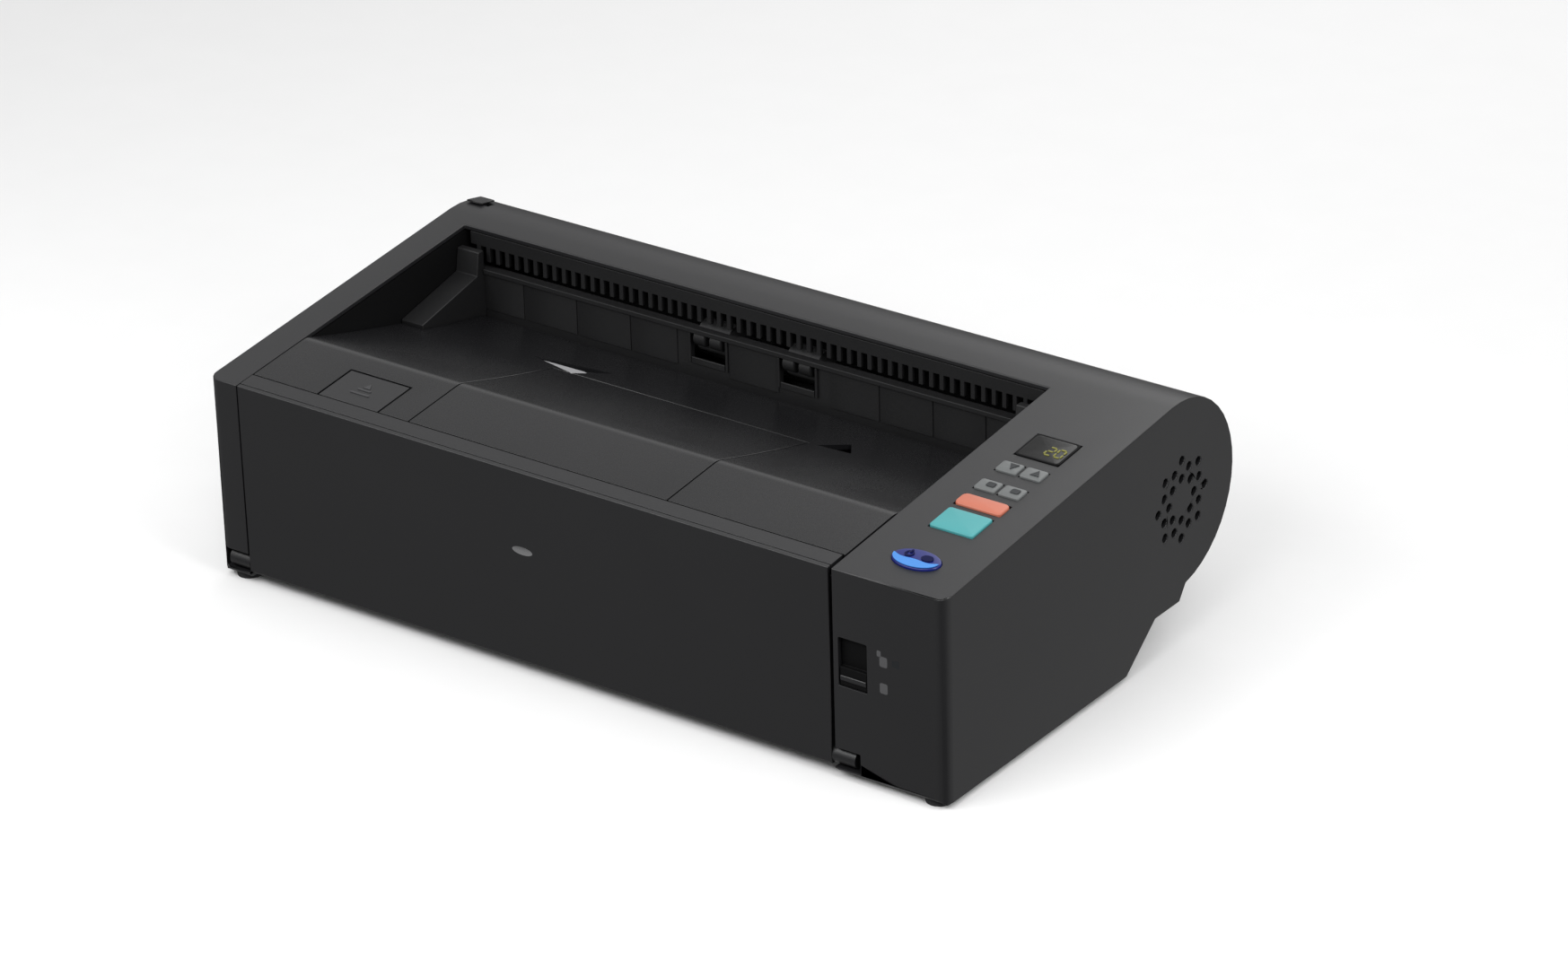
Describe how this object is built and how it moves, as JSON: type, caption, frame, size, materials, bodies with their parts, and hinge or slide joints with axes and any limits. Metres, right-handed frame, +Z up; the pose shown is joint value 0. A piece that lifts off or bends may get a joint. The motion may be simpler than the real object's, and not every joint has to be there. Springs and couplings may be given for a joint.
{
  "type": "sheet-fed document scanner",
  "caption": "Desktop sheet-fed document scanner: folding feed tray in front, lifting upper unit with a sunken eject tray, control panel at the right and rounded rear cover.",
  "frame": {"origin": "on the surface it stands on, under the middle of its overall box", "axes": "+X to the right of someone facing the front, +Y towards the rear, +Z up"},
  "size_m": [0.424, 0.238, 0.1273],
  "materials": {
    "housing": "fine-textured charcoal moulding",
    "tray_cover": "fine-textured charcoal moulding",
    "inner_black": "satin black moulding",
    "guide_grey": "satin dark grey moulding",
    "rubber": "matt roller rubber",
    "gear_white": "natural acetal",
    "steel": "plain bright steel",
    "sensor_glass": "clear flat glass over a dark bar",
    "display_glass": "dark display window with lit segments",
    "board_green": "solder mask",
    "key_blue": "dark blue key with a lit rim",
    "key_teal": "teal key",
    "key_orange": "orange key",
    "key_grey": "grey keys with silver edges"
  },
  "bodies": {
    "body": {"main_housing": "housing", "base_chassis": "inner_black", "left_side_frame": "inner_black", "right_side_frame": "inner_black", "exit_wall": "inner_black", "exit_comb": "inner_black", "left_corner_guide": "inner_black", "right_corner_guide": "inner_black", "turn_guide": "inner_black", "lower_path_guide": "guide_grey", "lower_image_sensor": "inner_black", "lower_sensor_glass": "sensor_glass", "lift_rod": "steel", "front_left_foot": "rubber", "front_right_foot": "rubber", "rear_left_foot": "rubber", "rear_right_foot": "rubber", "drive_motor": "steel", "motor_bracket": "steel", "timing_belt": "rubber", "display_window": "display_glass", "control_board": "board_green", "fan_frame": "inner_black", "main_board": "board_green", "usb_socket": "inner_black", "dc_inlet": "inner_black"},
    "feed_tray": {"feed_tray_cover": "tray_cover", "feed_tray_plate": "inner_black"},
    "tray_extension": {"feed_extension": "tray_cover"},
    "left_guide": {"left_paper_guide": "inner_black"},
    "right_guide": {"right_paper_guide": "inner_black"},
    "pinion": {"guide_pinion": "gear_white"},
    "lifting_unit": {"eject_tray": "housing", "upper_carrier": "guide_grey", "upper_image_sensor": "inner_black", "upper_sensor_glass": "sensor_glass"},
    "flap": {"eject_flap": "housing"},
    "release_button": {"open_button": "housing"},
    "pickup": {"pickup_roller": "rubber"},
    "feed": {"feed_roller": "rubber"},
    "first_pinch": {"first_pinch_roller": "rubber"},
    "second_pinch": {"second_pinch_roller": "rubber"},
    "retard": {"retard_roller": "rubber"},
    "first_drive": {"first_drive_roller": "rubber"},
    "second_drive": {"second_drive_roller": "rubber"},
    "turn": {"turn_roller": "rubber"},
    "exit": {"exit_roller": "rubber"},
    "gear": {"main_gear": "gear_white"},
    "motor_gear": {"motor_pinion": "steel"},
    "rear_door": {"rear_cover": "housing"},
    "rear_latch": {"rear_cover_latch": "housing"},
    "selector": {"feed_selector": "tray_cover"},
    "fan": {"fan_rotor": "inner_black"},
    "power": {"power_key": "key_blue"},
    "start": {"start_key": "key_teal"},
    "stop": {"stop_key": "key_orange"},
    "clear": {"clear_key": "key_grey"},
    "bypass": {"bypass_key": "key_grey"},
    "job_down": {"job_down_key": "key_grey"},
    "job_up": {"job_up_key": "key_grey"}
  },
  "joints": [
    {"name": "feed_tray_hinge", "type": "hinge", "parent": "body", "child": "feed_tray", "pos_m": [-0.0215, -0.1145, 0.0104], "axis": [1, 0, 0], "range_deg": [0, 85]},
    {"name": "feed_extension_slide", "type": "slide", "parent": "feed_tray", "child": "tray_extension", "axis": [0, 0, 1], "range_m": [0, 0.08]},
    {"name": "left_guide_slide", "type": "slide", "parent": "feed_tray", "child": "left_guide", "axis": [1, 0, 0], "range_m": [0, 0.09]},
    {"name": "right_guide_slide", "type": "slide", "parent": "feed_tray", "child": "right_guide", "axis": [-1, 0, 0], "range_m": [0, 0.09]},
    {"name": "guide_pinion_spin", "type": "hinge", "parent": "feed_tray", "child": "pinion", "pos_m": [-0.0215, -0.1124, 0.0545], "axis": [0, 1, 0], "range_deg": [0, 345]},
    {"name": "lifting_unit_hinge", "type": "hinge", "parent": "body", "child": "lifting_unit", "pos_m": [-0.0215, 0.0445, 0.0755], "axis": [-1, 0, 0], "range_deg": [0, 40]},
    {"name": "eject_flap_hinge", "type": "hinge", "parent": "lifting_unit", "child": "flap", "pos_m": [-0.0235, -0.1067, 0.10684], "axis": [1, 0, 0], "range_deg": [0, 170]},
    {"name": "open_button_press", "type": "slide", "parent": "lifting_unit", "child": "release_button", "axis": [0, 0.108, -0.9942], "range_m": [0, 0.0025], "stiffness_N_per_m": 300, "springref_m": -0.001},
    {"name": "main_gear_spin", "type": "hinge", "parent": "body", "child": "gear", "pos_m": [0.1655, -0.00421, 0.06122], "axis": [1, 0, 0], "continuous": true},
    {"name": "first_drive_spin", "type": "hinge", "parent": "body", "child": "first_drive", "pos_m": [-0.0215, -0.034, 0.02749], "axis": [1, 0, 0], "continuous": true},
    {"name": "second_drive_spin", "type": "hinge", "parent": "body", "child": "second_drive", "pos_m": [-0.0215, 0.03, 0.03199], "axis": [1, 0, 0], "continuous": true},
    {"name": "motor_pinion_spin", "type": "hinge", "parent": "body", "child": "motor_gear", "pos_m": [0.1655, 0.01828, 0.08803], "axis": [1, 0, 0], "continuous": true},
    {"name": "turn_roller_spin", "type": "hinge", "parent": "body", "child": "turn", "pos_m": [-0.0215, 0.0906, 0.074], "axis": [1, 0, 0], "continuous": true},
    {"name": "exit_roller_spin", "type": "hinge", "parent": "body", "child": "exit", "pos_m": [-0.0215, 0.0625, 0.09835], "axis": [1, 0, 0], "continuous": true},
    {"name": "retard_roller_spin", "type": "hinge", "parent": "body", "child": "retard", "pos_m": [-0.0215, -0.058, 0.0243], "axis": [1, 0, 0], "continuous": true},
    {"name": "pickup_roller_spin", "type": "hinge", "parent": "lifting_unit", "child": "pickup", "pos_m": [-0.0215, -0.079, 0.03963], "axis": [1, 0, 0], "continuous": true},
    {"name": "feed_roller_spin", "type": "hinge", "parent": "lifting_unit", "child": "feed", "pos_m": [-0.0215, -0.058, 0.0441], "axis": [1, 0, 0], "continuous": true},
    {"name": "first_pinch_spin", "type": "hinge", "parent": "lifting_unit", "child": "first_pinch", "pos_m": [-0.0215, -0.034, 0.04039], "axis": [1, 0, 0], "continuous": true},
    {"name": "second_pinch_spin", "type": "hinge", "parent": "lifting_unit", "child": "second_pinch", "pos_m": [-0.0215, 0.03, 0.04489], "axis": [1, 0, 0], "continuous": true},
    {"name": "rear_cover_hinge", "type": "hinge", "parent": "body", "child": "rear_door", "pos_m": [-0.0215, 0.08021, 0.03337], "axis": [-1, 0, 0], "range_deg": [0, 60]},
    {"name": "rear_latch_slide", "type": "slide", "parent": "body", "child": "rear_latch", "axis": [1, 0, 0], "range_m": [0, 0.004], "stiffness_N_per_m": 200, "springref_m": -0.001},
    {"name": "feed_selector_slide", "type": "slide", "parent": "body", "child": "selector", "axis": [0, 0, 1], "range_m": [0, 0.0144]},
    {"name": "fan_spin", "type": "hinge", "parent": "body", "child": "fan", "pos_m": [0.2025, 0.0744, 0.0752], "axis": [1, 0, 0], "continuous": true},
    {"name": "power_key_press", "type": "slide", "parent": "body", "child": "power", "axis": [0, 0.108, -0.9942], "range_m": [0, 0.001], "stiffness_N_per_m": 300, "springref_m": -0.0005},
    {"name": "start_key_press", "type": "slide", "parent": "body", "child": "start", "axis": [0, 0.108, -0.9942], "range_m": [0, 0.001], "stiffness_N_per_m": 300, "springref_m": -0.0005},
    {"name": "stop_key_press", "type": "slide", "parent": "body", "child": "stop", "axis": [0, 0.108, -0.9942], "range_m": [0, 0.001], "stiffness_N_per_m": 300, "springref_m": -0.0005},
    {"name": "clear_key_press", "type": "slide", "parent": "body", "child": "clear", "axis": [0, 0.108, -0.9942], "range_m": [0, 0.001], "stiffness_N_per_m": 300, "springref_m": -0.0005},
    {"name": "bypass_key_press", "type": "slide", "parent": "body", "child": "bypass", "axis": [0, 0.108, -0.9942], "range_m": [0, 0.001], "stiffness_N_per_m": 300, "springref_m": -0.0005},
    {"name": "job_down_key_press", "type": "slide", "parent": "body", "child": "job_down", "axis": [0, 0.108, -0.9942], "range_m": [0, 0.001], "stiffness_N_per_m": 300, "springref_m": -0.0005},
    {"name": "job_up_key_press", "type": "slide", "parent": "body", "child": "job_up", "axis": [0, 0.108, -0.9942], "range_m": [0, 0.001], "stiffness_N_per_m": 300, "springref_m": -0.0005}
  ],
  "couplings": [
    {"joint": "first_drive_spin", "follows": "main_gear_spin", "ratio": -1.6471},
    {"joint": "second_drive_spin", "follows": "main_gear_spin", "ratio": -1.6471},
    {"joint": "motor_pinion_spin", "follows": "main_gear_spin", "ratio": -4},
    {"joint": "turn_roller_spin", "follows": "main_gear_spin", "ratio": 0.96078},
    {"joint": "exit_roller_spin", "follows": "main_gear_spin", "ratio": 1.4412},
    {"joint": "retard_roller_spin", "follows": "main_gear_spin", "ratio": -1.3564},
    {"joint": "pickup_roller_spin", "follows": "main_gear_spin", "ratio": 1.4412},
    {"joint": "feed_roller_spin", "follows": "main_gear_spin", "ratio": 1.0481},
    {"joint": "first_pinch_spin", "follows": "main_gear_spin", "ratio": 2.0588},
    {"joint": "second_pinch_spin", "follows": "main_gear_spin", "ratio": 2.0588},
    {"joint": "right_guide_slide", "follows": "left_guide_slide", "ratio": 1},
    {"joint": "guide_pinion_spin", "follows": "left_guide_slide", "rad_per_m": 66.667}
  ]
}
